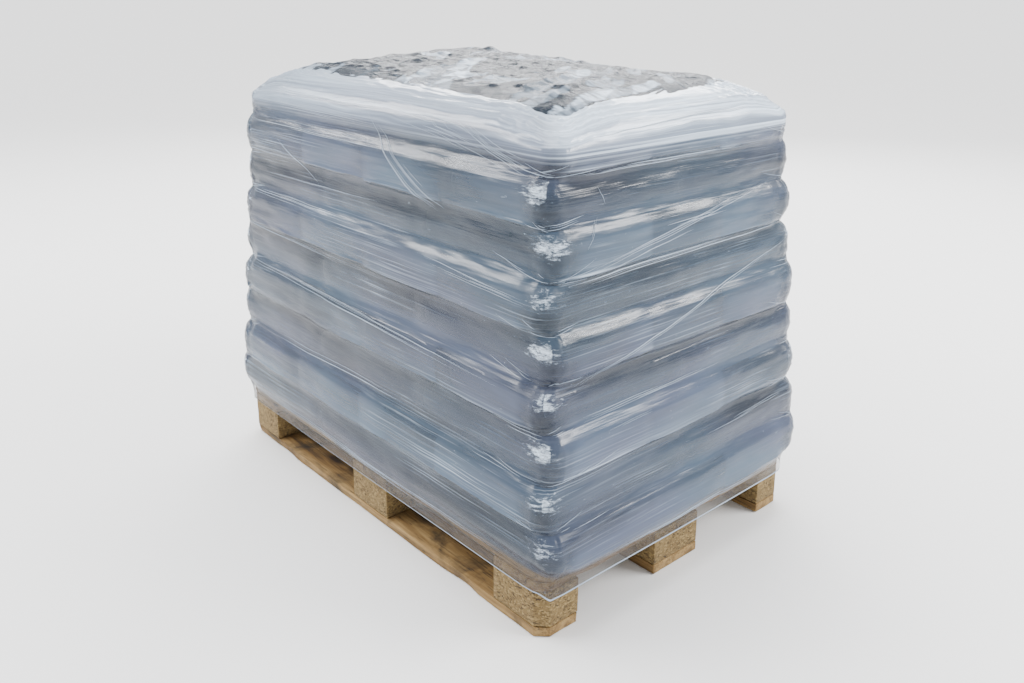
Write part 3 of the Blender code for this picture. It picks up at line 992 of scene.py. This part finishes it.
def foldPlace(q, share):
    tone = (0.0, 0.0, mix(wrap["foldLong"], 1.0, shortWeight(q)), 1.0)
    height = wrap["skirtMap"] + (load["layers"] - 0.5) * load["pitch"] + share * foldReach(q)
    # The turned-in film over the shoulder is painted light
    return foldPoint(q, share), tone, (0.85, 0.0, 0.6 * smooth(0.5, 0.0, share), 1.0), height


def sidePlace(q, level, gap):
    # Knobs at the corners, where the painted glints go
    size = wrap["knobGlints"][(int(level) + int(round(q))) % 9]
    knob = size * math.exp(-((cornerDistance(q) + 0.012) / (0.050 * size)) ** 2)
    knob *= math.exp(-((level % 1.0 - 0.72) / 0.21) ** 2)
    rim = smooth(8.15, 8.5, level)
    band, ridge = filmLight(q, level)
    tone = (knob * (1.0 - rim), 0.0, rim * mix(wrap["foldLong"], 1.0, shortWeight(q)), 1.0)
    # Painted light and shade from the band, painted light towards the rim, and the seam ridge's painted
    # highlight
    light = (mix(band, 0.85, rim), ridge, 0.6 + 0.4 * smooth(8.6, 8.2, level), 1.0)
    return filmPoint(q, level, wrap["lift"] + gap), tone, light, wrap["skirtMap"] + level * load["pitch"]


def lowerPlace(q, level):
    return sidePlace(q, min(level, turnEdge(q) + wrap["overlap"]), 0.0)


def upperPlace(q, level):
    return sidePlace(q, max(level, turnEdge(q)), wrap["gap"])


def filmBand(rows):    # one turn of film; rows are (place function, value) from its lower to its upper edge
    columns = wrapColumns()
    held = [placeOf(q, value) for placeOf, value in rows for q in columns]
    points, tones, lights, heights = [list(part) for part in zip(*held)]
    count = len(columns)
    faces = []
    for start in range(0, count * (len(rows) - 1), count):
        for column in range(count):
            here, after = start + column, start + (column + 1) % count
            faces.append((here, after, after + count, here + count))
    distances = [roundDistance(q) for q in columns]
    places = []
    for number, face in enumerate(faces):
        atSeam = number % count == count - 1
        for corner, vertex in enumerate(face):
            s = wholeRound if atSeam and corner in (1, 2) else distances[vertex % count]
            places.append((s, heights[vertex]))
    return points, faces, tones, lights, places


# Pleats: thin folds of the tight film, in bundles. A bundle holds where it starts, along its face and in
# height, where it ends, how many pleats it has, how far they spread and how far they bow up

pleats = {
    "front": [
        (-0.64, 0.523, 0.57, 0.489, 6, 0.018, 0.0),
        (-0.64, 0.150, 0.56, 0.136, 8, 0.020, 0.0),
        (-0.62, 0.716, 0.02, 0.706, 5, 0.016, 0.0),
        (0.22, 0.692, 0.60, 0.674, 5, 0.018, 0.0),
        (-0.62, 0.622, 0.05, 0.598, 3, 0.008, 0.0),
        (-0.52, 0.345, 0.16, 0.356, 4, 0.012, 0.0),
        (-0.48, 0.765, 0.30, 0.778, 2, 0.006, 0.0),
        (-0.46, 0.893, -0.17, 0.768, 3, 0.008, 0.0),
        (-0.03, 1.000, 0.29, 0.786, 4, 0.012, -0.035),
        (0.02, 0.960, 0.34, 0.790, 4, 0.030, -0.020),
        (0.10, 0.975, 0.50, 0.905, 9, 0.040, 0.006),
        (0.30, 0.985, 0.54, 0.905, 8, 0.030, -0.012),
        (-0.62, 0.958, 0.10, 0.948, 12, 0.040, 0.0),
        (-0.60, 0.900, 0.15, 0.895, 4, 0.020, 0.0),
    ],
    "right": [
        (-0.37, 0.700, 0.36, 0.716, 5, 0.010, 0.0),
        (-0.37, 0.502, 0.36, 0.678, 3, 0.008, 0.0),
        (-0.36, 0.705, 0.28, 0.812, 6, 0.020, 0.0),
        (-0.10, 0.775, 0.18, 0.780, 4, 0.010, 0.0),
        (-0.36, 0.440, 0.12, 0.452, 4, 0.010, 0.0),
        (-0.26, 0.408, -0.12, 0.414, 2, 0.004, 0.0),
        (0.02, 0.298, 0.38, 0.312, 3, 0.008, 0.0),
        (-0.36, 0.146, 0.38, 0.136, 6, 0.018, 0.0),
        (-0.34, 0.965, 0.37, 0.968, 12, 0.032, 0.0),
        (-0.34, 0.900, 0.37, 0.898, 4, 0.008, 0.0),
        (-0.26, 0.880, -0.23, 0.815, 2, 0.008, 0.0),
        (-0.30, 0.770, -0.26, 0.830, 3, 0.016, 0.0),
    ],
    "back": [
        (-0.58, 0.500, 0.62, 0.530, 6, 0.018, 0.0),
        (-0.60, 0.138, 0.62, 0.150, 7, 0.020, 0.0),
        (-0.60, 0.700, 0.20, 0.716, 5, 0.014, 0.0),
        (-0.20, 0.342, 0.55, 0.350, 4, 0.012, 0.0),
        (-0.40, 0.770, 0.10, 0.930, 4, 0.014, 0.020),
        (-0.56, 0.905, -0.20, 0.970, 8, 0.036, 0.0),
        (-0.60, 0.955, 0.60, 0.958, 14, 0.040, 0.0),
    ],
    "left": [
        (-0.37, 0.716, 0.36, 0.700, 5, 0.010, 0.0),
        (-0.36, 0.660, 0.36, 0.505, 3, 0.010, 0.0),
        (-0.30, 0.440, 0.34, 0.452, 4, 0.010, 0.0),
        (-0.36, 0.136, 0.38, 0.146, 6, 0.018, 0.0),
        (-0.36, 0.965, 0.36, 0.962, 12, 0.034, 0.0),
        (-0.20, 0.810, 0.34, 0.730, 4, 0.016, 0.0),
    ],
}
pleat = {
    "width": 0.0011, "height": 0.0005, "step": 0.012, "lift": 0.0006, "white": 0.55,
    "edgeSteps": 600, "edgeWidth": 0.0034,              # of the rolled lower edge of the film
    "rim": 0.066, "rimShare": 0.3, "rimLift": 0.001,    # where pleats run on over the shoulder
}
fan = {"each": 3, "reach": (0.60, 0.41), "length": (0.06, 0.20), "rise": (0.004, 0.040), "spread": 0.012}
faceStart = {"front": 0, "right": 2, "back": 4, "left": 6}


def facePoint(face, along, z):    # a point of the film over one face, by its place along it and its height
    level = (z - load["bottom"]) / load["pitch"]
    segment = faceStart[face]
    half = halfSizes(level)[segment // 2 % 2]
    before, after = radiusAt(load["corners"], segment - 1), radiusAt(load["corners"], segment + 1)
    run = along * (1.0 if segment < 4 else -1.0) + half - before
    straight = 2 * half - before - after
    q = segment + clamp(run / straight)
    if run < 0.0:
        q = (segment - min(0.999, -run / (before * math.pi / 2))) % 8.0
    elif run > straight:
        q = segment + 1.0 + min(0.999, (run - straight) / (after * math.pi / 2))
    rim = pleat["rim"]
    if z > load["crown"] - rim:
        share = clamp((z - load["crown"] + rim) / rim) * pleat["rimShare"]
        return foldPoint(q, share) + Vector((0, 0, pleat["rimLift"])), q
    if level < wrap["skirtLevel"]:
        edge = mix(wrap["skirtLong"], wrap["skirtShort"], shortWeight(q))
        top = load["bottom"] + wrap["skirtLevel"] * load["pitch"]
        return skirtPoint(q, (z - edge) / (top - edge)) + outwardAt(q, wrap["skirtRadius"]) * pleat["lift"], q
    return filmPoint(q, level, wrap["lift"] + wrap["gap"] + pleat["lift"]), q


def addPleat(points, faces, path, width):    # a low tent of film along a path; path holds (point, outward)
    first = len(points)
    for index, (place, out) in enumerate(path):
        ahead = path[min(index + 1, len(path) - 1)][0] - path[max(index - 1, 0)][0]
        across = ahead.cross(out).normalized()
        taper = min(1.0, 4.0 * min(index, len(path) - 1 - index) / len(path) + 0.1)
        half = width / 2 * taper
        points += [place - across * half, place + out * pleat["height"] * taper, place + across * half]
    for index in range(len(path) - 1):
        a = first + index * 3
        faces += [(a, a + 1, a + 4, a + 3), (a + 1, a + 2, a + 5, a + 4)]


def cornerFans(chance):    # short folds that run from the sides into the joints at the corners
    fans = {face: [] for face in pleats}
    for face in fans:
        reach = fan["reach"][faceStart[face] // 2 % 2]
        for boundary in range(1, load["layers"]):
            z = load["bottom"] + boundary * load["pitch"]
            for end in (-1, 1):
                for number in range(fan["each"]):
                    length = chance.uniform(*fan["length"])
                    rise = chance.uniform(*fan["rise"])
                    start, stop = end * (reach - length), end * reach
                    fans[face].append((start, z + rise, stop, z + 0.004, 1, fan["spread"], -0.2 * rise))
    return fans


def outwardAt(q, radius=load["corners"]):
    return outlinePoint(q, pallet["halfLength"], pallet["halfWidth"], radius)[1]


def pleatPath(face, ends, spread, bow, chance):    # one pleat: its points, and which way is out there
    fromAlong, fromZ, toAlong, toZ = ends
    start, end = chance.uniform(0.0, 0.45), chance.uniform(0.55, 1.0)
    offset = chance.uniform(-0.5, 0.5) * spread
    lean = chance.uniform(-0.25, 0.25) * spread
    reach = math.hypot(toAlong - fromAlong, toZ - fromZ) * (end - start)
    count = max(6, int(reach / pleat["step"]))
    path = []
    for step in range(count + 1):
        share = mix(start, end, step / count)
        along = mix(fromAlong, toAlong, share)
        z = mix(fromZ, toZ, share) + offset + lean * (share - 0.5)
        z += bow * math.sin(share * math.pi)
        z += 0.0012 * wander(along * 7.0, offset * 90.0, 71)
        place, q = facePoint(face, along, z)
        path.append((place, outwardAt(q)))
    return path


def makePleats():
    chance = random.Random(7)
    lower, upper = ([], []), ([], [])
    fans = cornerFans(chance)
    seamZ = load["bottom"] + (wrap["seamHeight"] - 0.2) * load["pitch"]
    for face, bundles in pleats.items():
        for *ends, count, spread, bow in bundles + fans[face]:
            for number in range(count):
                path = pleatPath(face, ends, spread, bow, chance)
                band = lower if path[0][0].z < seamZ else upper
                addPleat(*band, path, pleat["width"] * chance.uniform(0.5, 1.15))
    edge = []
    for index in range(pleat["edgeSteps"] + 1):    # the rolled lower edge of the film, all round
        q = 8.0 * index / pleat["edgeSteps"] % 8.0
        edge.append((skirtPoint(q, 0.0) + outwardAt(q) * pleat["lift"], outwardAt(q)))
    addPleat(*lower, edge, pleat["edgeWidth"])
    return lower, upper


def keepColors(piece, title, values):    # a colour attribute with one value for each point
    held = piece.data.attributes.new(title, "FLOAT_COLOR", "POINT")
    held.data.foreach_set("color", [part for value in values for part in value])


def joinBand(name, band, folds):
    points, faces, tones, lights, places = band
    more, moreFaces = folds
    first = len(points)
    points += more
    faces += [tuple(first + index for index in face) for face in moreFaces]
    tones += [(0.0, 0.0, pleat["white"], 1.0)] * len(more)
    # Pleats are painted light
    lights += [(0.9, 0.0, 0.0, 1.0)] * len(more)
    places += [(0.0, 0.0)] * (4 * len(moreFaces))
    piece = meshPiece(name, points, faces)
    keepColors(piece, "tone", tones)
    keepColors(piece, "light", lights)
    uv = piece.data.uv_layers.new(name="round")
    uv.data.foreach_set("uv", [part for place in places for part in place])
    makeActive(piece)
    bpy.ops.object.shade_smooth()
    return piece


def makeWrap():
    rows, steps = wrap["skirtRows"], wrap["foldRows"]
    lowerTop = wrap["seamHeight"] + wrap["overlap"] + wrap["spare"]
    upperStart = wrap["seamHeight"] - wrap["spare"]
    lower = [(skirtPlace, index / rows) for index in range(rows)]
    lower += [(lowerPlace, level) for level in wrapLevels(wrap["skirtLevel"], lowerTop)]
    upper = [(upperPlace, level) for level in wrapLevels(upperStart, load["layers"] - 0.5)]
    upper += [(foldPlace, (index / steps) ** 1.3) for index in range(1, steps + 1)]
    lowerFolds, upperFolds = makePleats()
    lowerPiece = joinBand("film_turn_lower", filmBand(lower), lowerFolds)
    upperPiece = joinBand("film_turn_upper", filmBand(upper), upperFolds)
    return lowerPiece, upperPiece


def colorParts(tree, title):    # the three shares that a piece's colour attribute holds
    parts = addNode(tree, "SeparateColor")
    tree.links.new(addNode(tree, "Attribute", attribute_name=title).outputs["Color"], parts.inputs["Color"])
    return [parts.outputs[channel] for channel in ("Red", "Green", "Blue")]


def filmNoise(tree, place, scale, detail, rough, warp=0.0, turn=0.0, move=(0.0, 0.0)):
    spot = mapping(tree, place, (*scale, 1.0), (0.0, 0.0, turn), (*move, 0.0))
    return noiseOf(tree, spot, 1.0, detail, rough, warp)


def clearFilm():
    paint, tree, shader = newMaterial("clearFilm")
    place = addNode(tree, "UVMap", uv_map="round").outputs["UV"]
    # knobShare places the painted glints and the crumple bump at the corners
    knobShare, skirtShare, foldShare = colorParts(tree, "tone")
    # The light attribute: painted light and shade in bands, painted highlights on the seam ridges, and the
    # ropes' contrast
    bandShare, ridgeShare, contrast = colorParts(tree, "light")

    # Fine lines and ropes of tight film, level or a little steep
    lines = filmNoise(tree, place, (1.8, 230.0), 4.0, 0.62, turn=0.02)
    steep = filmNoise(tree, place, (2.6, 200.0), 3.0, 0.5, turn=-0.12, move=(3.0, 1.0))
    sharp = mapTo(tree, lines, 0.47, 0.60)
    ropes = mapTo(tree, filmNoise(tree, place, (0.7, 105.0), 3.0, 0.6), 0.44, 0.56)
    patches = mapTo(tree, filmNoise(tree, place, (1.8, 6.0), 4.0, 0.6, 0.8, move=(7.0, 2.0)), 0.50, 0.68)
    streaks = larger(tree, mapTo(tree, lines, 0.55, 0.72), mapTo(tree, steep, 0.58, 0.76))
    streaks = times(tree, streaks, plus(tree, 0.06, patches))

    # White glints on the crumpled film of the corners
    crumple = filmNoise(tree, place, (38.0, 130.0), 8.0, 0.78, 0.4)
    grit = filmNoise(tree, place, (120.0, 260.0), 5.0, 0.75)
    glints = mapTo(tree, plus(tree, crumple, mapTo(tree, knobShare, 0.0, 1.0, -0.20, 0.10)), 0.44, 0.60)
    glints = times(tree, glints, mapTo(tree, grit, 0.38, 0.52, 0.30, 1.0))

    # Where many turns lie over each other the film is white, in ropes
    foldWhite = times(tree, foldShare, minus(tree, 1.0, times(tree, contrast, minus(tree, 1.0, ropes))))
    foldWhite = times(tree, foldWhite, mapTo(tree, sharp, 0.0, 1.0, 0.70, 1.0))
    # Painted highlight along the seam ridges
    ridgeHighlight = times(tree, ridgeShare, mapTo(tree, sharp, 0.0, 1.0, 0.08, 0.80))
    # pale gathers real white streaks and folds with the painted glints and painted ridge highlights
    pale = larger(tree, times(tree, streaks, 0.42), glints)
    pale = larger(tree, pale, larger(tree, foldWhite, ridgeHighlight))

    # The tint between them: painted light and shade in level bands, from the band share, with random clouds
    # and tension bands
    clouds = filmNoise(tree, place, (2.4, 9.0), 5.0, 0.6, 0.7, turn=0.05)
    tension = filmNoise(tree, place, (1.1, 34.0), 4.0, 0.6, 0.3, turn=0.03)
    shade = plus(tree, bandShare, mapTo(tree, clouds, 0.30, 0.70, -0.18, 0.18))
    shade = plus(tree, shade, mapTo(tree, tension, 0.35, 0.65, -0.10, 0.10))
    color = blendColor(tree, mapTo(tree, shade, 0.0, 1.0), wrap["tint"], wrap["pale"])
    hue = filmNoise(tree, place, (1.7, 4.0), 2.0, 0.5, move=(2.0, 9.0))
    color = blendColor(tree, mapTo(tree, hue, 0.42, 0.60), color, wrap["mauve"], "MULTIPLY")
    color = blendColor(tree, skirtShare, color, wrap["skirt"])
    color = blendColor(tree, pale, color, wrap["white"])
    tree.links.new(color, shader.inputs["Base Color"])
    shader.inputs["Roughness"].default_value = wrap["roughness"]
    shader.inputs["Specular IOR Level"].default_value = wrap["specular"]
    shader.inputs["Coat Weight"].default_value = wrap["coat"]
    shader.inputs["Coat Roughness"].default_value = wrap["coatRoughness"]
    alpha = minus(tree, wrap["cover"], times(tree, skirtShare, wrap["skirtClear"]))
    alpha = plus(tree, alpha, times(tree, pale, wrap["paleCover"]))
    alpha.node.use_clamp = True
    tree.links.new(alpha, shader.inputs["Alpha"])
    fine = bumpFrom(tree, None, plus(tree, lines, steep), 0.50, 0.0012)
    fine = bumpFrom(tree, None, tension, 0.25, 0.004, fine)
    soft = filmNoise(tree, place, (3.0, 20.0), 4.0, 0.6, 0.6)
    fine = bumpFrom(tree, None, soft, 0.30, 0.006, fine)
    rough = times(tree, plus(tree, crumple, times(tree, grit, 0.5)), knobShare)
    bumpFrom(tree, shader, rough, 0.9, 0.004, fine)
    return paint


film = clearFilm()
wrapPieces = makeWrap()
for wrapPiece in wrapPieces:
    dress(wrapPiece, film, "clear_film", "stretch_wrap")
print("stretch wrap made")


# Cover sheet: a loose film that is a little too large, so that it buckles into creases

cover = {
    "inset": 0.022, "step": 0.0085, "lift": 0.004,
    "held": 0.105, "loose": 0.16,     # the film holds the sheet's edge this far in, further in it is loose
    "grow": -0.045, "frames": 24,     # how much the cloth shrinks, less than 0 where it grows
    "quality": 5, "stiffness": 0.25, "mass": 0.08, "thickness": 0.002,
    "least": 0.0008, "most": 0.026,   # height of the sheet over the sacks
    "crease": math.radians(122.0),    # the way in which most of the long creases run
    "largeFacets": (0.26, 0.085, 3), "smallFacets": (0.090, 0.036, 5),    # length, width and seed
    "largeRise": 0.020, "smallRise": 0.006,
    # white is the colour of the painted highlights on the sheet's facets and creases
    "tint": (0.014, 0.022, 0.034), "white": (0.50, 0.61, 0.74), "roughness": 0.20, "specular": 0.04,
}


def domeGrid(name, halfLength, halfWidth, step, lift):
    countX, countY = int(2 * halfLength / step), int(2 * halfWidth / step)
    points, faces = [], []
    for iy in range(countY + 1):
        for ix in range(countX + 1):
            x = mix(-halfLength, halfLength, ix / countX)
            y = mix(-halfWidth, halfWidth, iy / countY)
            points.append(Vector((x, y, topHeight(x, y) + lift)))
    for iy in range(countY):
        for ix in range(countX):
            a = iy * (countX + 1) + ix
            faces.append((a, a + 1, a + countX + 2, a + countX + 1))
    return meshPiece(name, points, faces)


def facet(x, y, length, width, seed):    # flat patches between sharp creases: height, and a number for each
    turn = cover["crease"] + 0.35 * wander(x * 2.0, y * 2.0, seed)
    along = x * math.cos(turn) + y * math.sin(turn)
    across = y * math.cos(turn) - x * math.sin(turn)
    spot = Vector((along / length, across / width, seed * 3.7))
    distances, places = noise.voronoi(spot, distance_metric="CHEBYCHEV")
    return clamp(distances[0]), noise.cell(places[0] * 9.7 + Vector((seed, 0.0, 0.0)))


def creaseHeight(x, y):
    large, small = facet(x, y, *cover["largeFacets"])[0], facet(x, y, *cover["smallFacets"])[0]
    return cover["largeRise"] * large + cover["smallRise"] * small


def buckle(piece, halfLength, halfWidth):    # the sheet grows until it creases, over the top of the sacks
    under = domeGrid("underTop", halfLength + 0.02, halfWidth + 0.02, 0.03, 0.0)
    under.modifiers.new("solid", "COLLISION")
    under.collision.thickness_outer = cover["thickness"]
    cloth = piece.modifiers.new("buckle", "CLOTH")
    cloth.settings.vertex_group_mass = "held"
    cloth.settings.shrink_min = cover["grow"]
    cloth.settings.shrink_max = cover["grow"]
    cloth.settings.quality = cover["quality"]
    cloth.settings.bending_stiffness = cover["stiffness"]
    cloth.settings.mass = cover["mass"]
    cloth.collision_settings.distance_min = cover["thickness"]
    cloth.collision_settings.use_self_collision = False
    simulate(cover["frames"])
    applyModifiers(piece)
    bpy.context.scene.frame_set(1)
    bpy.data.objects.remove(under, do_unlink=True)


def paintedHighlightAt(x, y):    # painted highlights: some patches between the creases catch the light
    large, small = facet(x, y, *cover["largeFacets"])[1], facet(x, y, *cover["smallFacets"])[1]
    white = smooth(0.42, 0.60, large) * (0.3 + 0.7 * smooth(-0.3, 0.3, small))
    return clamp(white + 0.5 * smooth(0.72, 0.80, small))


def makeCover():
    halfLength, halfWidth = [half - cover["inset"] for half in halfSizes(load["layers"] - 0.5)]
    piece = domeGrid("cover_sheet", halfLength, halfWidth, cover["step"], cover["lift"])
    held = piece.vertex_groups.new(name="held")
    for vertex in piece.data.vertices:
        p = vertex.co
        edge = min(halfLength - abs(p.x), halfWidth - abs(p.y))
        if edge < cover["held"]:
            held.add([vertex.index], 1.0, "REPLACE")
        else:
            rise = 0.6 * creaseHeight(p.x, p.y) * smooth(cover["held"], cover["loose"], edge)
            p.z += rise + 0.001 * wander(p.x * 33.0, p.y * 41.0, 82)
    buckle(piece, halfLength, halfWidth)
    subdivide = piece.modifiers.new("fine", "SUBSURF")
    subdivide.levels = 1
    subdivide.render_levels = 1
    applyModifiers(piece)
    paintedHighlights = []
    for vertex in piece.data.vertices:
        p = vertex.co
        edge = smooth(0.030, 0.110, min(halfLength - abs(p.x), halfWidth - abs(p.y)))
        floor = topHeight(p.x, p.y) + 0.001
        above = p.z - floor + 0.7 * edge * creaseHeight(p.x, p.y)
        p.z = floor + clamp(above, cover["least"], cover["most"])
        paintedHighlights.append((paintedHighlightAt(p.x, p.y), 0.0, 0.0, 1.0))
    # The white attribute carries the painted highlights
    keepColors(piece, "white", paintedHighlights)
    makeActive(piece)
    bpy.ops.object.shade_smooth()
    return piece


def coverFilm():
    paint, tree, shader = newMaterial("coverFilm")
    place = addNode(tree, "TexCoord").outputs["Object"]
    creaseMap = mapping(tree, place, (5.0, 26.0, 9.0), (0.0, 0.0, -cover["crease"]))
    creases = noiseOf(tree, creaseMap, 1.6, 7.0, 0.68, 1.2)
    # pale: painted highlights on the lit facets and along the creases
    pale = times(tree, colorParts(tree, "white")[0], mapTo(tree, creases, 0.38, 0.56, 0.25, 1.0))
    pale = larger(tree, pale, mapTo(tree, creases, 0.60, 0.75, 0.0, 0.5))
    color = blendColor(tree, pale, cover["tint"], cover["white"])
    tree.links.new(color, shader.inputs["Base Color"])
    shader.inputs["Roughness"].default_value = cover["roughness"]
    shader.inputs["Specular IOR Level"].default_value = cover["specular"]
    tree.links.new(mapTo(tree, pale, 0.0, 0.6, 0.88, 0.97), shader.inputs["Alpha"])
    bumpFrom(tree, shader, creases, 0.6, 0.007)
    return paint


coverPiece = makeCover()
dress(coverPiece, coverFilm(), "clear_film", "top_sheet")
print("cover sheet made")


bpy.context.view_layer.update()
triangles = sum(len(face.vertices) - 2 for piece in bpy.context.scene.objects if piece.type == "MESH"
                and not piece.hide_render for face in piece.data.polygons)
print("triangles:", triangles)
